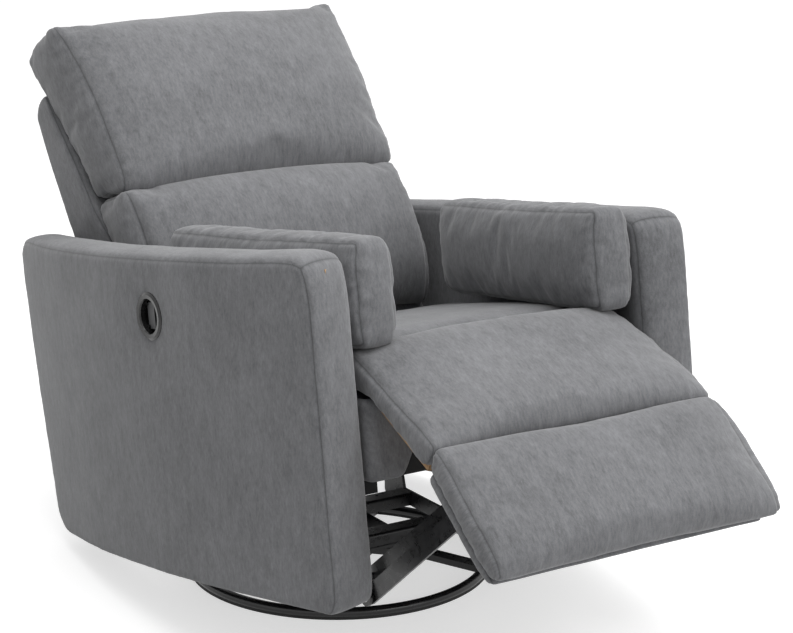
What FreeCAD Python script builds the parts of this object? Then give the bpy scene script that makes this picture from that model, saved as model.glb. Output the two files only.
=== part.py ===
import FreeCAD, Part
import math
import os

V = FreeCAD.Vector

# Swivel glider recliner, millimetres. Origin on the floor at the swivel axis, +Z up, seat faces -Y.
# The chair body is drawn level and then rocked back about a line above the base, as it rests.

# Driving dimensions
rock_back = 8.79          # degrees that the body leans back on its glider at rest
rock_line_z = 184.0       # height of the line about which the drawn body is leaned
back_slope = 32.0         # degrees of the reclined back from the body's upright
chaise_slope = 32.5       # degrees that the chaise pad slopes down
footrest_slope = 47.0     # degrees that the footrest slopes down
shoulder_slope = 14.0     # degrees of the pad in front of the seat

ring_centre_r = 271.0
ring_tube_r = 9.0
ring_z = 11.0

arm_half_width = 431.5    # outside of the arms at their widest
arm_wide_y = -35.0
arm_outer_r = 1872.0
arm_front_y = -607.0
arm_front_depth = 80.0    # thickness of the arm's front face
arm_front_turn = 21.0     # degrees that the front face turns outwards
arm_bottom_z = 97.0
arm_top_z = 636.0
arm_rear_low_y = 388.0
arm_rear_high_y = 464.0
arm_edge_r = 20.0
arm_padding = 20.0        # board and foam round the arm's wooden frame

seat_half_width = 257.5   # chaise, footrest and front rail
seat_deck_z = 330.0
seat_top_z = 455.0
rail_outer_x = 260.0
rail_inner_x = 234.0

plate_x = (230.0, 234.0)        # mechanism side plates
drive_arm_x = (222.0, 227.0)
lift_bar_x = (214.0, 219.0)
bracket_x = (206.0, 211.0)
guide_bar_x = (198.0, 203.0)
glide_link_x = (200.0, 206.0)
post_x = (190.0, 196.0)

pin_r = 5.0
glide_pin_r = 6.0
running_gap = 0.05              # radial clearance of a pin that turns

# Pivots in the drawn body, as (y, z)
drive_pivot = (-356.0, 247.0)
knee_low = (-449.0, 68.0)
knee_high = (-434.0, 92.0)
bracket_low = (-726.0, 234.0)
bracket_high = (-714.0, 253.0)
chaise_pivot = (-579.0, 400.0)
footrest_pivot = (-714.0, 314.0)
recline_pivot = (150.0, 345.0)
open_pivot_gap = 2.0            # radial clearance where the footrest loop is left open
rear_open_gap = 3.2             # radial clearance where the glider loop is left open

# Glider pivots on the base, in the standing frame, as (y, z)
post_front = (-150.0, 268.0)
post_rear = (161.3, 266.0)
hanger_front = (-80.0, 185.0)
hanger_rear = (130.0, 140.0)

# Latch in the right arm
latch_y = -173.0
latch_z = 530.0
latch_rim_r = 40.0
latch_mouth_r = 28.0
latch_cup_r = 30.5
latch_depth = 38.0


# Shapes that several pieces share

def box(x0, x1, y0, y1, z0, z1):
    return Part.makeBox(x1 - x0, y1 - y0, z1 - z0, V(x0, y0, z0))


def rodX(point, r, x0, x1):
    return Part.makeCylinder(r, x1 - x0, V(x0, point[0], point[1]), V(1, 0, 0))


def rounded_face(points, place):
    """A face with its corners (a, b, radius) joined by lines and tangent arcs."""
    ends = []
    count = len(points)
    for i, (a, b, r) in enumerate(points):
        here = V(a, b, 0)
        before = V(points[i - 1][0], points[i - 1][1], 0) - here
        after = V(points[(i + 1) % count][0], points[(i + 1) % count][1], 0) - here
        before.normalize()
        after.normalize()
        half = before.getAngle(after) / 2
        middle = before + after
        if r < 0.01 or middle.Length < 1e-6:
            ends.append((here, None, here))
            continue
        middle.normalize()
        reach = r / math.tan(half)
        centre = here + middle * (r / math.sin(half))
        ends.append((here + before * reach, centre - middle * r, here + after * reach))
    edges = []
    for i, (start, bend, end) in enumerate(ends):
        if bend is not None:
            edges.append(Part.Arc(place(start), place(bend), place(end)).toShape())
        following = ends[(i + 1) % count][0]
        if (following - end).Length > 1e-4:
            edges.append(Part.makeLine(place(end), place(following)))
    return Part.Face(Part.Wire(edges))


def plate_yz(points, span):
    face = rounded_face(points, lambda p: V(span[0], p.x, p.y))
    return face.extrude(V(span[1] - span[0], 0, 0))


def bar(p, q, half_width, span):
    """A flat bar with round ends about two pivots."""
    along = V(0, q[0] - p[0], q[1] - p[1])
    along.normalize()
    side = V(0, -along.z, along.y)
    start = V(span[0], p[0], p[1])
    end = V(span[0], q[0], q[1])
    w = half_width
    edges = [Part.makeLine(start + side * w, end + side * w),
             Part.Arc(end + side * w, end + along * w, end - side * w).toShape(),
             Part.makeLine(end - side * w, start - side * w),
             Part.Arc(start - side * w, start - along * w, start + side * w).toShape()]
    return Part.Face(Part.Wire(edges)).extrude(V(span[1] - span[0], 0, 0))


def drilled(shape, holes, span):
    """Bores along X; each hole is (pivot, radius)."""
    for pivot, r in holes:
        shape = shape.cut(rodX(pivot, r, span[0] - 5, span[1] + 5))
    return shape


def rivet(pivot, r, x0, x1, cap_r=9.0, cap=1.8):
    """A pin from x0 to x1 with a domed cap beyond each end."""
    pin = rodX(pivot, r, x0, x1)
    outer = Part.makeCone(cap_r, cap_r - 2.5, cap, V(x1, *pivot), V(1, 0, 0))
    inner = Part.makeCone(cap_r, cap_r - 2.5, cap, V(x0, *pivot), V(-1, 0, 0))
    return pin.fuse([outer, inner]).removeSplitter()


def other_side(shape):
    return shape.mirror(V(0, 0, 0), V(1, 0, 0))


def pair(shape):
    return Part.makeCompound([shape, other_side(shape)])


def pad_section(y, half, low, high, crown, bulge):
    a, b = V(-half, y, low), V(half, y, low)
    c, d = V(half, y, high), V(-half, y, high)
    middle = (low + high) / 2
    return Part.Wire([Part.makeLine(a, b),
                      Part.Arc(b, V(half + bulge, y, middle), c).toShape(),
                      Part.Arc(c, V(0, y, high + crown), d).toShape(),
                      Part.Arc(d, V(-half - bulge, y, middle), a).toShape()])


def pad(stations):
    """A crowned cushion with drawn-in ends, lofted along Y."""
    return Part.makeLoft([pad_section(*s) for s in stations], True, False)


def turned(shape, pivot, degrees):
    shape.rotate(V(0, pivot[0], pivot[1]), V(1, 0, 0), degrees)
    return shape


def hang_from(shape, pivot, slope):
    """Moves a piece drawn level in front of the origin to a sloping place at a pivot."""
    shape.translate(V(0, pivot[0], pivot[1]))
    return turned(shape, pivot, slope)


def on_back(shape):
    """Moves a piece drawn as (x, rearwards, up the back) to the reclined back."""
    return turned(shape, (0.0, 0.0), -back_slope)


def save_standing(name, shape):
    shape.exportStep("parts/" + name + ".step")


def save(name, shape):
    """Leans a piece of the body back on the glider and writes it."""
    shape = shape.copy()
    turned(shape, (0.0, rock_line_z), -rock_back)
    save_standing(name, shape)


def save_sides(name, left):
    save(name + "_left", left)
    save(name + "_right", other_side(left))


def save_pair(name, left):
    save(name, pair(left))


# Base that stands on the floor

def make_base():
    ring = Part.makeTorus(ring_centre_r, ring_tube_r, V(0, 0, ring_z))
    strip = Part.makeCylinder(ring_centre_r + 7, 6).cut(Part.makeCylinder(ring_centre_r - 7, 6))
    save_standing("floor_strip", strip.cut(ring))
    save_standing("base_ring", ring)

    hub_r, hub_low, hub_high = 62.0, 22.0, 44.0
    ball_r, race_r, ball_z = 5.0, 46.0, 47.0
    hub = Part.makeCylinder(hub_r, hub_high - hub_low, V(0, 0, hub_low))
    hub = hub.cut(Part.makeCylinder(15.0 + running_gap, 40, V(0, 0, 10)))
    hub = hub.cut(Part.makeTorus(race_r, ball_r + 0.1, V(0, 0, ball_z)))
    profile = [(55, 26, 0), (55, 38, 0), (150, 38, 60), (268, 17, 0), (268, 5, 0), (150, 26, 60)]
    arm = rounded_face(profile, lambda p: V(p.x, -15, p.y)).extrude(V(0, 30, 0))
    arm = arm.cut(Part.makeCylinder(hub_r, 60)).cut(ring)
    arms = []
    for step in range(4):
        turn = arm.copy()
        turn.rotate(V(0, 0, 0), V(0, 0, 1), 45 + 90 * step)
        arms.append(turn)
    save_standing("base_arms", Part.makeCompound(arms))
    save_standing("swivel_hub", hub)
    balls = [Part.makeSphere(ball_r, V(race_r * math.cos(a), race_r * math.sin(a), ball_z))
             for a in [math.radians(36 * i) for i in range(10)]]
    save_standing("bearing_balls", Part.makeCompound(balls))

    plate = rounded_face([(-100, -100, 18), (100, -100, 18), (100, 100, 18), (-100, 100, 18)],
                         lambda p: V(p.x, p.y, 50)).extrude(V(0, 0, 6))
    post = Part.makeCylinder(15, 32, V(0, 0, 24))
    plate = plate.fuse(post).cut(Part.makeTorus(race_r, ball_r + 0.1, V(0, 0, ball_z)))
    save_standing("swivel_plate", plate.removeSplitter())


def make_glider_base():
    rail = rounded_face([(-20, 0, 5), (20, 0, 5), (20, 24, 0), (-20, 24, 0)],
                        lambda p: V(-post_x[0], p.x, 80 - p.y)).extrude(V(2 * post_x[0], 0, 0))
    hollow = box(-post_x[0], post_x[0], -17, 17, 50, 77)
    channel = rail.cut(hollow)
    front, rear = channel.copy(), channel.copy()
    front.translate(V(0, -78, 0))
    rear.translate(V(0, 78, 0))
    save_standing("base_channels", Part.makeCompound([front, rear]))
    side = plate_yz([(-130, 56, 10), (150, 56, 10), (150, 84, 4), (-130, 84, 4)], post_x)
    save_standing("base_side_members", pair(side))

    def upright(foot, pivot):
        along = bar((foot, 84), pivot, 19, post_x)
        along = along.fuse(plate_yz([(foot - 34, 84, 0), (foot + 34, 84, 0), (foot + 14, 150, 10),
                                     (foot - 14, 150, 10)], post_x))
        along = along.cut(box(0, 400, -400, 400, 0, 84))
        return drilled(along, [(pivot, glide_pin_r)], post_x).removeSplitter()

    save_standing("glider_posts", Part.makeCompound([
        upright(-95, post_front), other_side(upright(-95, post_front)),
        upright(115, post_rear), other_side(upright(115, post_rear))]))

    def post_pin(pivot):
        return rivet(pivot, glide_pin_r, post_x[0], glide_link_x[1] + 0.4)

    save_standing("glider_post_pins", Part.makeCompound([
        post_pin(post_front), other_side(post_pin(post_front)),
        post_pin(post_rear), other_side(post_pin(post_rear))]))


def make_glider_links():
    bore = glide_pin_r + running_gap
    front = drilled(bar(post_front, hanger_front, 16, glide_link_x),
                    [(post_front, bore), (hanger_front, bore)], glide_link_x)
    rear = drilled(bar(post_rear, hanger_rear, 17, glide_link_x),
                   [(post_rear, bore), (hanger_rear, glide_pin_r + rear_open_gap)], glide_link_x)
    save_standing("front_glide_links", pair(front))
    save_standing("rear_glide_links", pair(rear))

    def hanger_pin(pivot):
        return rivet(pivot, glide_pin_r, glide_link_x[0] - 0.4, plate_x[1], 9.5, 2.2)

    save_standing("hanger_pins", Part.makeCompound([
        hanger_pin(hanger_front), other_side(hanger_pin(hanger_front)),
        hanger_pin(hanger_rear), other_side(hanger_pin(hanger_rear))]))


# Chair body: wooden seat box, springs and mechanism plates

def drawn(point):
    """A standing point as the drawn, level body has it."""
    lean = math.radians(rock_back)
    y, z = point[0], point[1] - rock_line_z
    return (y * math.cos(lean) - z * math.sin(lean),
            y * math.sin(lean) + z * math.cos(lean) + rock_line_z)


def make_side_plates():
    front_ear, rear_ear = drawn(hanger_front), drawn(hanger_rear)
    plate = plate_yz([(-392, 262, 12), (-392, 226, 16), (-330, 206, 24), (-150, 206, 40),
                      (-104, 152, 16), (-56, 152, 16), (-40, 204, 22), (92, 200, 24),
                      (112, 141, 15), (158, 141, 15), (158, 182, 12), (82, 208, 14),
                      (64, 262, 6)], plate_x)
    plate = drilled(plate, [(front_ear, glide_pin_r), (rear_ear, glide_pin_r),
                            (drive_pivot, 11 + running_gap)], plate_x)
    slots = [bar((y, 234), (y + 70, 234), 11, plate_x) for y in (-210, 95 - 190)]
    for slot in slots:
        plate = plate.cut(slot)
    save_sides("mechanism_plate", plate)
    tubes = []
    for y in (-250.0, 45.0):
        tube = rodX((y, 236), 11, -plate_x[0], plate_x[0])
        tubes.append(tube.cut(rodX((y, 236), 9, -plate_x[0] - 1, plate_x[0] + 1)))
    save("cross_tubes", Part.makeCompound(tubes))


def make_seat_box():
    rail = box(rail_inner_x, rail_outer_x, -530, 60, 250, seat_deck_z)
    save_pair("seat_side_rails", rail)
    front = box(-seat_half_width, seat_half_width, -555, -530, 275, 398)
    save("front_rail", front)
    save("rear_rail", box(-plate_x[0], plate_x[0], 35, 60, 250, seat_deck_z))
    cover = rounded_face([(-seat_half_width, 271, 10), (-205, 271, 14), (-178, 318, 26),
                          (178, 318, 26), (205, 271, 14), (seat_half_width, 271, 10),
                          (seat_half_width, 402, 8), (-seat_half_width, 402, 8)],
                         lambda p: V(p.x, -562, p.y)).extrude(V(0, 7, 0))
    save("front_rail_cover", cover)
    blocks = []
    for y in (-500, -260, -20):
        block = box(rail_outer_x, 345, y, y + 55, 262, seat_deck_z - 2)
        blocks.append(block.cut(arm_block(0.0, 0.0)))
    save_pair("arm_blocks", Part.makeCompound(blocks))


def make_springs():
    """Sinuous wire springs from the front rail to the rear rail."""
    half_wire, loops, low = 1.8, 8, seat_deck_z - 3.6
    start, end = -530.0, 35.0
    pitch = (end - start) / loops
    springs = []
    for x in (-150, -50, 50, 150):
        first, second = [], []
        for i in range(loops):
            side = 1 if i % 2 else -1
            y0, y1 = start + i * pitch, start + (i + 1) * pitch
            for path, grow in ((first, -side * half_wire), (second, side * half_wire)):
                swell = pitch / 2 + grow
                path.append(Part.Arc(V(x, y0 - grow, low), V(x + side * swell, (y0 + y1) / 2, low),
                                     V(x, y1 + grow, low)).toShape())
        second.reverse()
        far_end = Part.makeLine(V(x, end - half_wire, low), V(x, end + half_wire, low))
        near_end = Part.makeLine(V(x, start - half_wire, low), V(x, start + half_wire, low))
        outline = Part.Wire(first + [far_end] + second + [near_end])
        wave = Part.Face(outline).extrude(V(0, 0, seat_deck_z - low))
        springs.append(wave.common(box(-300, 300, start, end, 300, 400)))
    save("seat_springs", Part.makeCompound(springs))


# Upholstered arms

def arm_outer_x(y, inset=0.0):
    centre = arm_half_width - arm_outer_r
    return centre + math.sqrt((arm_outer_r - inset) ** 2 - (y - arm_wide_y) ** 2)


def arm_corners():
    turn = math.radians(arm_front_turn)
    outer = V(arm_outer_x(arm_front_y), arm_front_y, 0)
    inner = outer + V(-arm_front_depth * math.cos(turn), arm_front_depth * math.sin(turn), 0)
    return outer, inner


def inner_circle():
    """Centre and radius of the arm's inner face in plan."""
    inner = arm_corners()[1]
    arc = Part.Arc(inner, V(336.5, -40, 0), V(303, arm_rear_high_y, 0)).toShape().Curve
    return arc.Center, arc.Radius


def arm_inner_x(y):
    centre, radius = inner_circle()
    return centre.x + math.sqrt(radius ** 2 - (y - centre.y) ** 2)


def arm_block(inset, trim):
    """The left arm's solid, or its hollow when inset by the padding."""
    turn = math.radians(arm_front_turn)
    into = V(math.sin(turn), math.cos(turn), 0) * inset
    outer, inner = arm_corners()
    centre, radius = inner_circle()
    far_y = arm_rear_high_y + 20
    front_y = outer.y + into.y
    front_x = arm_outer_x(front_y, inset)
    low_y = inner.y + into.y
    low_x = centre.x + math.sqrt((radius + inset) ** 2 - (low_y - centre.y) ** 2)
    rear_in = centre.x + math.sqrt((radius + inset) ** 2 - (far_y - centre.y) ** 2)
    z0 = arm_bottom_z + inset
    a, b = V(front_x, front_y, z0), V(arm_outer_x(far_y, inset), far_y, z0)
    c, d = V(rear_in, far_y, z0), V(low_x, low_y, z0)
    outer_mid = V(arm_outer_x(arm_wide_y, inset), arm_wide_y, z0)
    inner_mid = V(centre.x + math.sqrt((radius + inset) ** 2 - (centre.y + 40) ** 2), -40, z0)
    wire = Part.Wire([Part.Arc(a, outer_mid, b).toShape(), Part.makeLine(b, c),
                      Part.Arc(c, inner_mid, d).toShape(), Part.makeLine(d, a)])
    block = Part.Face(wire).extrude(V(0, 0, arm_top_z - arm_bottom_z - 2 * inset))
    slope = math.atan2(arm_rear_high_y - arm_rear_low_y, arm_top_z - arm_bottom_z)
    rear = box(0, 900, 0, 500, -300, 1200)
    rear.rotate(V(0, 0, 0), V(1, 0, 0), -math.degrees(slope))
    rear.translate(V(0, arm_rear_low_y - inset - trim, arm_bottom_z))
    return block.cut(rear)


def latch_frame():
    """Placement of the latch: local X to the front, Y up and Z out of the right arm."""
    lean = math.asin((latch_y - arm_wide_y) / arm_outer_r)
    out = V(-math.cos(lean), math.sin(lean), 0)
    front = V(-out.y, out.x, 0)
    at = V(-arm_outer_x(latch_y), latch_y, latch_z)
    return FreeCAD.Placement(FreeCAD.Matrix(front.x, 0, out.x, at.x, front.y, 0, out.y, at.y,
                                            0, 1, 0, at.z, 0, 0, 0, 1))


def in_latch(shape):
    shape.Placement = latch_frame().multiply(shape.Placement)
    return shape


def make_arms():
    solid = arm_block(0.0, 0.0)
    soft = solid.makeFillet(arm_edge_r, solid.Edges)
    left = soft.cut(arm_block(arm_padding, 10.0))
    pocket = in_latch(Part.makeCylinder(latch_cup_r, 60, V(0, 0, -latch_depth - 2)))
    right = other_side(left).cut(pocket)
    save("arm_left", left)
    save("arm_right", right)
    rail_gap = arm_padding + 1.0

    def level(z0, z1):
        return arm_block(rail_gap, 12.0).common(box(0, 900, -700, 700, z0, z1))

    frame = [level(120, 165), level(575, 612)]
    for y in (-560, -330, 60, 330):
        frame.append(level(165, 575).common(box(0, 900, y, y + 45, 0, 900)))
    frame_left = frame[0].fuse(frame[1:]).removeSplitter()
    save_pair("arm_frames", frame_left)


def make_latch():
    """Pull latch: a rim and cup, and a paddle on an upright pin at the cup's rear side."""
    floor = 2.5
    outline = [V(latch_mouth_r, 0, -latch_depth + floor), V(latch_mouth_r, 0, 1.5),
               V(latch_mouth_r + 1.5, 0, 4.0), V(latch_rim_r - 4, 0, 5.0), V(latch_rim_r, 0, 2.0),
               V(latch_rim_r, 0, 0.4), V(latch_cup_r, 0, 0.4), V(latch_cup_r, 0, -latch_depth),
               V(0, 0, -latch_depth), V(0, 0, -latch_depth + floor)]
    cup = Part.Face(Part.makePolygon(outline + outline[:1])).revolve(V(0, 0, 0), V(0, 0, 1), 360)
    pin_x, pin_z, pin_half = -19.0, -11.0, 19.5
    lugs = [box(pin_x - 4, pin_x + 3, y, y + 3, -latch_depth + floor, pin_z + 4) for y in (-19.5, 16.5)]
    cup = cup.fuse(lugs)
    pin = Part.makeCylinder(1.5, 2 * pin_half, V(pin_x, -pin_half, pin_z), V(0, 1, 0))
    cup = cup.cut(pin)
    face = Part.makeCylinder(latch_mouth_r - 1.2, 3.5, V(0, 0, -9.5))
    paddle = face.common(box(-12, 5, -22, 22, -20, 0))
    barrel = Part.makeCylinder(3.2, 32, V(pin_x, -16, pin_z), V(0, 1, 0))
    web = box(pin_x, -11.5, -15.5, 15.5, -12.5, -8.5)
    bore = Part.makeCylinder(1.5 + running_gap, 50, V(pin_x, -25, pin_z), V(0, 1, 0))
    paddle = paddle.fuse([barrel, web]).cut(bore).removeSplitter()
    save("latch_cup", in_latch(cup))
    save("latch_paddle", in_latch(paddle))
    save("latch_pin", in_latch(pin))


# Footrest linkage

def make_drive():
    arm = bar(drive_pivot, knee_low, 16, drive_arm_x).fuse(bar(knee_high, knee_low, 16, drive_arm_x))
    arm = arm.fuse(rodX(drive_pivot, 22, *drive_arm_x))
    arm = drilled(arm, [(drive_pivot, 11), (knee_low, pin_r), (knee_high, pin_r)], drive_arm_x)
    save_pair("drive_arms", arm.removeSplitter())
    end = plate_x[1] - 0.1
    tube = rodX(drive_pivot, 11, -end, end).cut(rodX(drive_pivot, 8.5, -end - 1, end + 1))
    save("torque_tube", tube)
    low = rivet(knee_low, pin_r, lift_bar_x[0] - 0.4, drive_arm_x[1], 9, 1.6)
    high = rivet(knee_high, pin_r, guide_bar_x[0] - 0.4, drive_arm_x[1], 9, 1.6)
    high = high.fuse(rodX(knee_high, 8, guide_bar_x[1] + 0.5, drive_arm_x[0]))
    pins = [low, other_side(low), high, other_side(high)]
    save("knee_pins", Part.makeCompound(pins))


def pressed_bar(p, q, half_width, span, holes):
    """A link bar with a raised rib pressed along its middle."""
    flat = bar(p, q, half_width, span)
    along = V(0, q[0] - p[0], q[1] - p[1])
    length = along.Length
    along.normalize()
    rib_start = (p[0] + along.y * 40, p[1] + along.z * 40)
    rib_end = (p[0] + along.y * (length - 40), p[1] + along.z * (length - 40))
    inner_face = (span[0] - 1.2, span[0])
    rib = bar(rib_start, rib_end, half_width - 9, inner_face)
    return drilled(flat.fuse(rib), holes, span).removeSplitter()


def make_bars():
    free = pin_r + running_gap
    lift = pressed_bar(knee_low, bracket_low, 15, lift_bar_x,
                       [(knee_low, free), (bracket_low, free)])
    guide = pressed_bar(knee_high, bracket_high, 17, guide_bar_x,
                        [(knee_high, free), (bracket_high, pin_r + open_pivot_gap)])
    save_sides("lift_bar", lift)
    save_sides("guide_bar", guide)


above_board = box(-400, 400, -400, 400, -2, 200)


def make_footrest():
    board = box(-245, 245, -205, -9, -14, -2)
    board = board.makeFillet(14, [e for e in board.Edges if abs(e.BoundBox.YMax + 205) < 1
                                  and e.BoundBox.ZLength > 5 and e.BoundBox.XLength < 1])
    save("footrest_board", hang_from(board, footrest_pivot, footrest_slope))
    cushion = pad([(-7, 249, -2, 26, 6, 4), (-18, 254, -2, 38, 12, 5), (-110, 255, -2, 40, 16, 5),
                   (-196, 254, -2, 36, 12, 5), (-216, 246, 2, 24, 5, 4)])
    cushion = cushion.common(above_board)
    save("footrest_pad", hang_from(cushion, footrest_pivot, footrest_slope))

    web = plate_yz([(-18, -14, 0), (-160, -14, 0), (-150, -30, 8), (-84, -64, 16), (-50, -66, 16),
                    (-24, -48, 14)], bracket_x)
    flange = box(bracket_x[0] - 28, bracket_x[0], -160, -18, -17, -14)
    bracket = hang_from(web.fuse(flange), footrest_pivot, footrest_slope)
    bracket = drilled(bracket, [(bracket_low, pin_r), (bracket_high, pin_r)], bracket_x)
    save_pair("footrest_brackets", bracket.removeSplitter())
    low = rivet(bracket_low, pin_r, bracket_x[0], lift_bar_x[1] + 0.4, 9, 1.6)
    high = rivet(bracket_high, pin_r, guide_bar_x[0] - 0.4, bracket_x[1], 9, 1.6)
    save("bracket_pins", Part.makeCompound([low, other_side(low), high, other_side(high)]))


def make_chaise():
    length = math.hypot(footrest_pivot[0] - chaise_pivot[0], footrest_pivot[1] - chaise_pivot[1])
    board = box(-245, 245, -length + 9, -9, -14, -2)
    save("chaise_board", hang_from(board, chaise_pivot, chaise_slope))
    cushion = pad([(-7, 250, -2, 30, 10, 4), (-22, 255, -2, 38, 20, 4),
                   (-90, 255, -2, 38, 22, 4), (-length + 24, 255, -2, 38, 16, 4),
                   (-length + 9, 249, -2, 28, 6, 4)])
    cushion = cushion.common(above_board)
    save("chaise_pad", hang_from(cushion, chaise_pivot, chaise_slope))
    shoulder = pad([(4, 250, 6, 30, 10, 4), (20, 254, -4, 38, 20, 4), (70, 254, -16, 38, 20, 4),
                    (85, 250, -18, 30, 12, 4)])
    shoulder = hang_from(shoulder, chaise_pivot, shoulder_slope)
    shoulder = shoulder.cut(box(-300, 300, -561.9, -400, 300, 402))
    save("shoulder_pad", shoulder.cut(box(-300, 300, -620, -561.9, 300, 407.5)))


def make_chaise_hinges():
    """Two strap hinges: rail to chaise board, and chaise board to footrest board."""
    rod_r = 3.0
    ears, inner, outer, far = [], [], [], []
    for x in (-152, 88):
        hinge = rodX(chaise_pivot, rod_r, x, x + 64)
        for offset in (0, 52):
            span = (x + offset, x + offset + 12)
            ear = bar(chaise_pivot, (chaise_pivot[0] + 30, chaise_pivot[1]), 6, span)
            hinge = hinge.fuse(ear.cut(box(-200, 200, -562, -400, 300, 500)))
            near = leaf_at(span, 9.0, 50.0, rod_r + 1.3)
            outer.append(hang_from(near, footrest_pivot, chaise_slope))
        ears.append(hinge.removeSplitter())
        span = (x + 14, x + 50)
        inner.append(hang_from(leaf_at(span, -9.0, -60.0, rod_r + running_gap), chaise_pivot,
                               chaise_slope))
        leaf = leaf_at(span, -9.0, -50.0, rod_r - 0.5)
        leaf = leaf.fuse(Part.makeCylinder(rod_r, 64, V(x, 0, 0), V(1, 0, 0)))
        far.append(hang_from(leaf.removeSplitter(), footrest_pivot, footrest_slope))
    save("rail_hinges", Part.makeCompound(ears))
    save("chaise_hinge_leaves", Part.makeCompound(inner))
    save("chaise_front_leaves", Part.makeCompound(outer))
    save("footrest_hinge_leaves", Part.makeCompound(far))


def leaf_at(span, near, far, bore):
    """One hinge leaf under a board, its knuckle at the origin."""
    knuckle = Part.makeCylinder(5.6, span[1] - span[0], V(span[0], 0, 0), V(1, 0, 0))
    strap = plate_yz([(0, -5.6, 0), (0, 0, 0), (near * 0.55, -3, 0), (near * 0.95, -14.02, 0),
                      (far, -14.02, 0), (far, -16, 0), (near * 0.7, -16, 0)], span)
    shape = knuckle.fuse(strap)
    return shape.cut(Part.makeCylinder(bore, 200, V(span[0] - 50, 0, 0), V(1, 0, 0))).removeSplitter()


# Seat cushion, back and arm pillows

def make_seat_cushion():
    def side(y, bulge):
        return min(arm_inner_x(y) - bulge - 5.0, 324)

    cushion = pad([(-489, 250, seat_deck_z, 436, 6, 4), (-468, 260, seat_deck_z, 449, 16, 5),
                   (-440, 266, seat_deck_z, 453, 18, 6),
                   (-300, side(-300, 6), seat_deck_z, seat_top_z, 20, 6),
                   (-120, side(-120, 6), seat_deck_z, seat_top_z, 20, 6),
                   (10, side(10, 6), seat_deck_z, seat_top_z - 2, 16, 6),
                   (42, side(42, 6), seat_deck_z, seat_top_z - 6, 14, 6),
                   (60, 310, seat_deck_z, 436, 6, 4)])
    save("seat_cushion", cushion.common(box(-400, 400, -600, 100, seat_deck_z, 600)))


def back_pad(stations):
    """A cushion drawn along the back: stations run up it, thickness to the front."""
    shape = pad(stations)
    shape.rotate(V(0, 0, 0), V(1, 0, 0), 90)
    return shape


def make_back():
    lumbar = back_pad([(436, 262, 140, 156, 6, 3), (460, 280, 140, 178, 24, 5),
                       (540, 286, 140, 208, 44, 6), (630, 286, 140, 222, 48, 6),
                       (690, 284, 140, 220, 34, 6), (712, 270, 140, 204, 12, 4)])
    save("lumbar_cushion", on_back(lumbar))
    head = back_pad([(718, 268, 140, 198, 14, 4), (744, 285, 140, 214, 36, 6),
                     (860, 287, 140, 210, 50, 6), (985, 287, 140, 210, 44, 6),
                     (1076, 283, 140, 196, 28, 6), (1102, 266, 140, 180, 12, 4)])
    roll = back_pad([(1006, 266, 78, 160, 2, 3), (1028, 279, 62, 160, 2, 4),
                     (1074, 279, 58, 160, 2, 4), (1098, 262, 74, 160, 2, 3)])
    save("head_cushion", on_back(head.fuse(roll)))

    shell = box(-290, 290, -134, -10, 378, 1002)
    rear_edges = [e for e in shell.Edges if e.BoundBox.YMin > -11 or
                  (e.BoundBox.ZMin > 1001 and e.BoundBox.YMin > -135)]
    shell = shell.makeFillet(24, [e for e in rear_edges if e.BoundBox.ZMax > 379])
    shell = shell.cut(box(-276, 276, -300, -24, 200, 988)).cut(box(-300, 300, -200, -62, 200, 425))
    save("back_shell", on_back(shell))

    post = box(241, 265, -125, -85, 395, 984)
    save("back_posts", on_back(pair(post)))
    rails = [box(-half, half, -120, -96, u, u + 45) for half, u in ((236.5, 430), (241, 690), (241, 938))]
    save("back_rails", on_back(Part.makeCompound(rails)))
    straps = [box(-265, 265, -128, -125, u, u + 48) for u in (500, 580, 760, 840)]
    save("back_webbing", on_back(Part.makeCompound(straps)))

    hinge_x, leaf_x = (230.0, 234.0), (236.5, 241.0)
    bracket = plate_yz([(-24, 266, 6), (58, 266, 6), (66, 300, 14), (168, 326, 16), (168, 364, 16),
                        (132, 364, 16), (44, 322, 20), (-24, 322, 6)], hinge_x)
    save_pair("recline_brackets", drilled(bracket, [(recline_pivot, 6)], hinge_x))
    slope = math.radians(back_slope)
    pivot_n = recline_pivot[0] * math.cos(slope) - recline_pivot[1] * math.sin(slope)
    pivot_u = recline_pivot[0] * math.sin(slope) + recline_pivot[1] * math.cos(slope)
    leaf = plate_yz([(pivot_n - 18, pivot_u - 18, 17), (pivot_n + 18, pivot_u - 18, 17),
                     (pivot_n + 18, pivot_u + 16, 16), (-88, 470, 20), (-88, 560, 8),
                     (-120, 560, 8), (-120, 420, 20)], leaf_x)
    leaf = on_back(leaf)
    save_pair("back_hinge_leaves", drilled(leaf, [(recline_pivot, 6 + running_gap)], leaf_x))
    pin = rivet(recline_pivot, 6, hinge_x[0], leaf_x[1] + 0.4, 10, 2.0)
    save("recline_pins", pair(pin))


def make_pillows():
    def section(y, half_x, half_z, out_x, out_z):
        a, b = V(-half_x, y, -half_z), V(half_x, y, -half_z)
        c, d = V(half_x, y, half_z), V(-half_x, y, half_z)
        return Part.Wire([Part.Arc(a, V(0, y, -half_z - out_z), b).toShape(),
                          Part.Arc(b, V(half_x + out_x, y, 0), c).toShape(),
                          Part.Arc(c, V(0, y, half_z + out_z), d).toShape(),
                          Part.Arc(d, V(-half_x - out_x, y, 0), a).toShape()])

    pillow = Part.makeLoft([section(-258, 30, 70, 6, 2), section(-236, 37, 76, 10, 4),
                            section(-120, 39, 78, 13, 5), section(120, 39, 78, 13, 5),
                            section(236, 37, 76, 10, 4), section(258, 30, 70, 6, 2)], True, False)
    pillow.rotate(V(0, 0, 0), V(0, 0, 1), -5.9)
    pillow.translate(V(245, -305, 558))
    save_sides("arm_pillow", pillow)


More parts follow.
